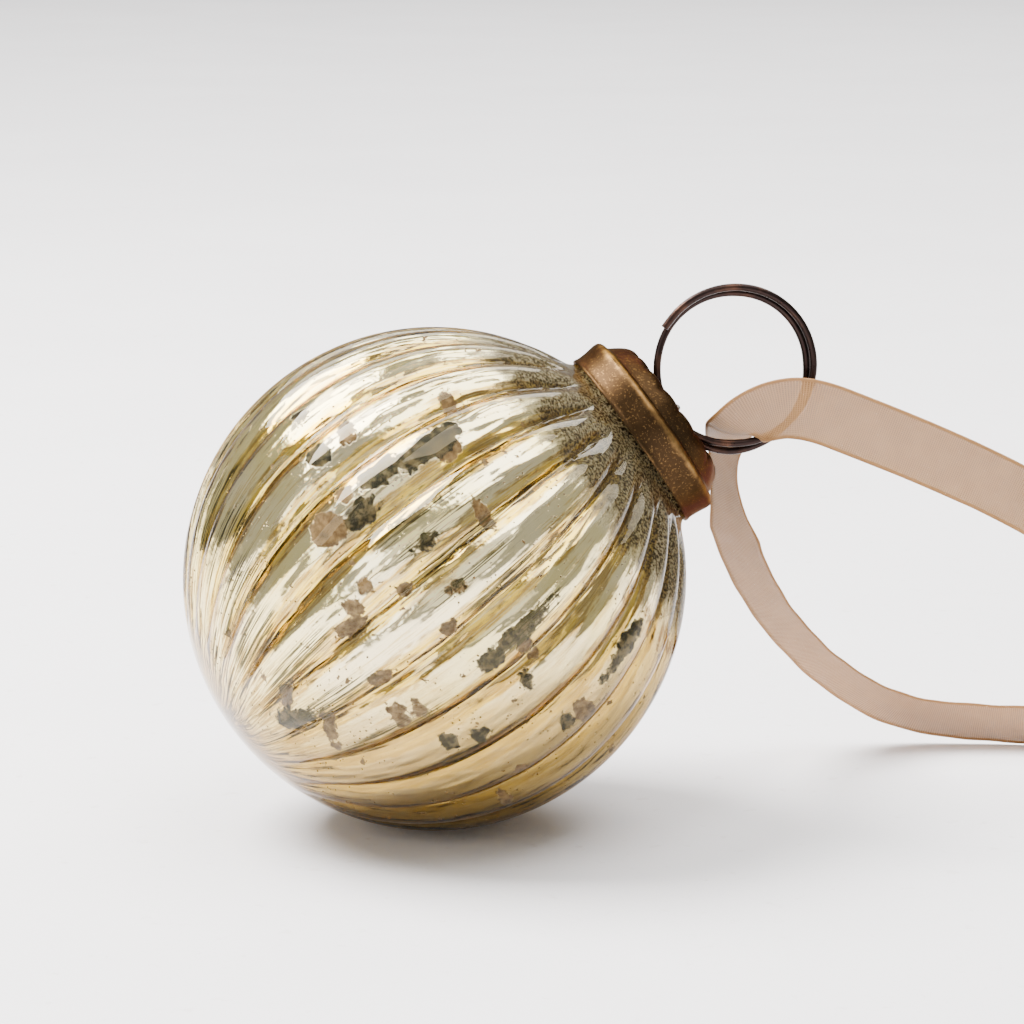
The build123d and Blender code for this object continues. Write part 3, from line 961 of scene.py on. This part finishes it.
# %% The aged bronze
def aged_bronze():
    material, tree, shader = finish_named("aged_bronze")
    here = place(tree)
    rubbed = stored(tree, "rubbed")
    grime = noise(tree, here, 420.0, 5.0, 0.65)
    patchy = noise(tree, here, 90.0, 3.0)
    fleck = between(tree, noise(tree, here, 3200.0, 3.0, 0.6), 0.56, 0.68)
    dark = mixed(tree, grime, colour(0.010, 0.006, 0.003), colour(0.055, 0.030, 0.013))
    dark = mixed(tree, between(tree, patchy, 0.45, 0.7), dark, colour(0.034, 0.020, 0.010))
    copper = mixed(tree, patchy, colour(0.20, 0.092, 0.030), colour(0.44, 0.265, 0.095))
    show = plus(tree, rubbed, centred(tree, grime, 0.9), centred(tree, patchy, 0.7))
    show = between(tree, show, 0.40, 1.05)
    show = calc(tree, "MAXIMUM", show, times(tree, fleck, 0.28))
    feed_all(tree, shader, {
        "Base Color": mixed(tree, show, dark, copper),
        "Metallic": scaled(tree, show, 0.08, 0.90),
        "Roughness": scaled(tree, grime, 0.30, 0.24),
        "Specular IOR Level": 0.2,
        "Specular Tint": colour(0.50, 0.38, 0.28),
        "Normal": bumped(tree, grime, 0.45, 0.00012)})
    return material


cap = pressed_cap(aged_bronze())
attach(cap, "cap")
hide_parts("cap")
print("cap", len(cap.data.polygons), "faces")

# %% [markdown]
# ## The hanger wire and the split ring
#
# The hanger is one springy wire: a small loop above the cap and two legs that press outwards
# inside the neck. The split ring is two flat turns of round wire, like a key ring. Wire is a
# round section carried along a path, so Geometry Nodes sweep it, and a spiral gives the ring.

# %% Wire finishes
def dark_wire(name, deep, bright, roughness):
    material, tree, shader = finish_named(name)
    here = place(tree)
    grime = noise(tree, here, 700.0, 4.0, 0.6)
    worn = between(tree, noise(tree, here, 170.0, 3.0), 0.48, 0.70)
    tone = mixed(tree, grime, colour(*deep), colour(*[c * 1.9 for c in deep]))
    feed_all(tree, shader, {
        "Base Color": mixed(tree, times(tree, worn, 0.6), tone, colour(*bright)),
        "Metallic": 0.9,
        "Roughness": scaled(tree, grime, 0.2, roughness),
        "Normal": bumped(tree, grime, 0.3, 0.00006)})
    return material


ring_finish = dark_wire("dark_copper", (0.014, 0.008, 0.007), (0.10, 0.045, 0.026), 0.20)
hanger_finish = dark_wire("hanger_steel", (0.16, 0.145, 0.12), (0.55, 0.50, 0.42), 0.28)

# %% Wire along a path
STEPS_ROUND = 20


def wire_tree():
    tree, given = tree_with("wire_along_a_path", Geometry=("Path",), Float=("Wire",),
                            Int=("Steps Round",), Material=("Material",))
    section = node(tree, "GeometryNodeCurvePrimitiveCircle", {
        "Resolution": given["Steps Round"], "Radius": times(tree, given["Wire"], 0.5)})
    sweep = node(tree, "GeometryNodeCurveToMesh", {
        "Curve": given["Path"], "Profile Curve": section.outputs[0], "Fill Caps": True})
    finished(tree, sweep.outputs[0], given["Material"])
    return tree


wire_along = wire_tree()

# %% [markdown]
# A real split ring is sprung: its two turns touch on their flat faces, but one has crept outwards
# and the other inwards. The first turn keeps the ring's size, and the second creeps inwards at the
# top and outwards at the bottom, where the ribbon pries the turns apart.

# %% The split ring
RING_WIRE = 0.00115
RING_RADIUS = 0.0123
RING_START = 150.0
RING_TRAVEL = 680.0
RING_STEP = 10.0
# degrees travelled, and how far the wire stands outside the ring's radius there, in millimetres
RING_CREEP = [(0, 0.22), (60, 0.05), (150, 0.0), (240, -0.75), (297, -0.25), (360, -0.45),
              (420, -0.90), (510, -0.85), (600, 0.65), (657, 0.25), (680, 0.15)]
RING_CENTRE = LOOP + AXIS * RING_RADIUS
RING_NORMAL = SWING.cross(AXIS).normalized()
# degrees round the ring start level and to the right, and grow towards the top
ring_right = (Vector((1, 0, 0)) - RING_NORMAL * RING_NORMAL.x).normalized()
ring_up = ring_right.cross(RING_NORMAL)
ring_up *= math.copysign(1.0, ring_up.z)
half_gap = RING_WIRE / 2 + 0.00001


def ring_point(travelled):
    angle = math.radians(RING_START - travelled)
    creep = np.interp(travelled, *zip(*RING_CREEP)) * MM
    cross_over = min(max((travelled - 310) / 70, 0.0), 1.0)
    side = half_gap * (2 * (3 * cross_over ** 2 - 2 * cross_over ** 3) - 1)
    reach = RING_RADIUS + creep
    return (RING_CENTRE + ring_right * (reach * math.cos(angle))
            + ring_up * (reach * math.sin(angle)) + RING_NORMAL * side)


ring_points = [ring_point(travelled) for travelled in np.arange(0, RING_TRAVEL + 1, RING_STEP)]
split_ring = cleaned(grown("split_ring_wire", wire_along, {
    "Wire": RING_WIRE, "Steps Round": STEPS_ROUND, "Material": ring_finish},
    on=nurbs_curve(ring_points, 5)))
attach(split_ring, "ring")
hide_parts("split_ring")
ring_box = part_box("split_ring")
print("ring", [round(c, 4) for c in np.ptp(corners_of(split_ring), axis=0)],
      "measured", [round(c, 4) for c in ring_box[1] - ring_box[0]])

# %% The hanger
LOOP_WIRE = 0.0009
# half of the wire's path, out from the loop's side, in millimetres above the rim
LOOP_REACH = 1.8
LOOP_HEIGHT = 7.2
HANGER_SIDE = [(LOOP_REACH, LOOP_HEIGHT), (1.72, 5.6), (1.9, 4.1), (4.2, 3.2), (7.2, 1.7), (9.8, -0.3),
               (11.2, -3.0), (11.35, -5.6), (10.8, -8.2), (10.25, -10.0)]


def hanger_path():
    """The wire's path: up one side, over the loop and down the other, in the ring's crosswise way."""
    arch = [(LOOP_REACH * math.cos(a), LOOP_HEIGHT + LOOP_REACH * math.sin(a))
            for a in np.linspace(0, math.pi, 9)[1:-1]]
    left = [(-x, z) for x, z in HANGER_SIDE]
    rim = CENTRE + AXIS * RIM_HEIGHT
    return [rim + RING_NORMAL * (x * MM) + AXIS * (z * MM) for x, z in HANGER_SIDE[::-1] + arch + left]


hanger = cleaned(grown("hanger_wire_loop", wire_along, {
    "Wire": LOOP_WIRE, "Steps Round": STEPS_ROUND, "Material": hanger_finish},
    on=nurbs_curve(hanger_path(), 8)))
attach(hanger, "hanger")
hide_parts("hanger_wire")
print("hanger", len(hanger.data.polygons), "faces")

# %% [markdown]
# ## Floor and light
#
# A pale plaster table top carries the ornament. A soft window light, high on the left and a
# little behind, gives the shine on the ribs and the shadow towards the front. A wide overhead
# light and a weak fill from the left soften it. A card in front is only there to be mirrored in
# the ball, and one more light brightens the far end of the table.

# %% Floor
def plaster():
    material, tree, shader = finish_named("pale_plaster")
    here = place(tree)
    cloud = noise(tree, here, 9.0, 4.0, 0.6)
    grit = noise(tree, here, 260.0, 4.0, 0.6)
    tone = mixed(tree, cloud, colour(0.80, 0.775, 0.79), colour(0.90, 0.88, 0.89))
    grains = times(tree, between(tree, grit, 0.62, 0.72), 0.25)
    feed_all(tree, shader, {
        "Base Color": mixed(tree, grains, tone, colour(0.55, 0.50, 0.47)),
        "Roughness": 0.75,
        "Normal": bumped(tree, grit, 0.2, 0.0004)})
    return material


FLOOR_REACH = 3.0
floor_corners = [(x * FLOOR_REACH, y * FLOOR_REACH, 0) for x, y in ((-1, -1), (1, -1), (1, 1), (-1, 1))]
floor = made("table_top", floor_corners, [(0, 1, 2, 3)], plaster())


# %% Lights
def soft_light(name, size, power, at, towards, tone=(1, 1, 1)):
    data = bpy.data.lights.new(name, "AREA")
    data.shape = "RECTANGLE"
    data.size, data.size_y = size
    data.energy = power
    data.color = tone
    light = in_scene(name, data)
    light.location = at
    light.rotation_euler = (Vector(towards) - Vector(at)).to_track_quat("-Z", "Y").to_euler()
    return light


soft_light("window", (0.70, 0.55), 49.0, (-0.54, 0.14, 0.94), CENTRE, (1.0, 0.985, 0.965))
soft_light("overhead", (1.3, 0.8), 20.0, (0.30, -0.15, 1.15), CENTRE)
soft_light("fill", (0.5, 0.6), 4.0, (-0.75, -0.85, 0.45), CENTRE, (0.97, 0.98, 1.0))
card = soft_light("reflected_card", (1.6, 1.2), 5.5, (0.1, -1.5, 0.85), CENTRE, (1.0, 0.985, 0.95))
card.visible_diffuse = False
soft_light("far_floor", (2.4, 1.2), 60.0, (0.0, 1.5, 1.5), (0.0, 1.9, 0.0))
world = bpy.data.worlds.new("studio")
bpy.context.scene.world = world
world.use_nodes = True
feed_all(world.node_tree, world.node_tree.nodes["Background"], {
    "Color": colour(0.88, 0.88, 0.84), "Strength": 0.58})
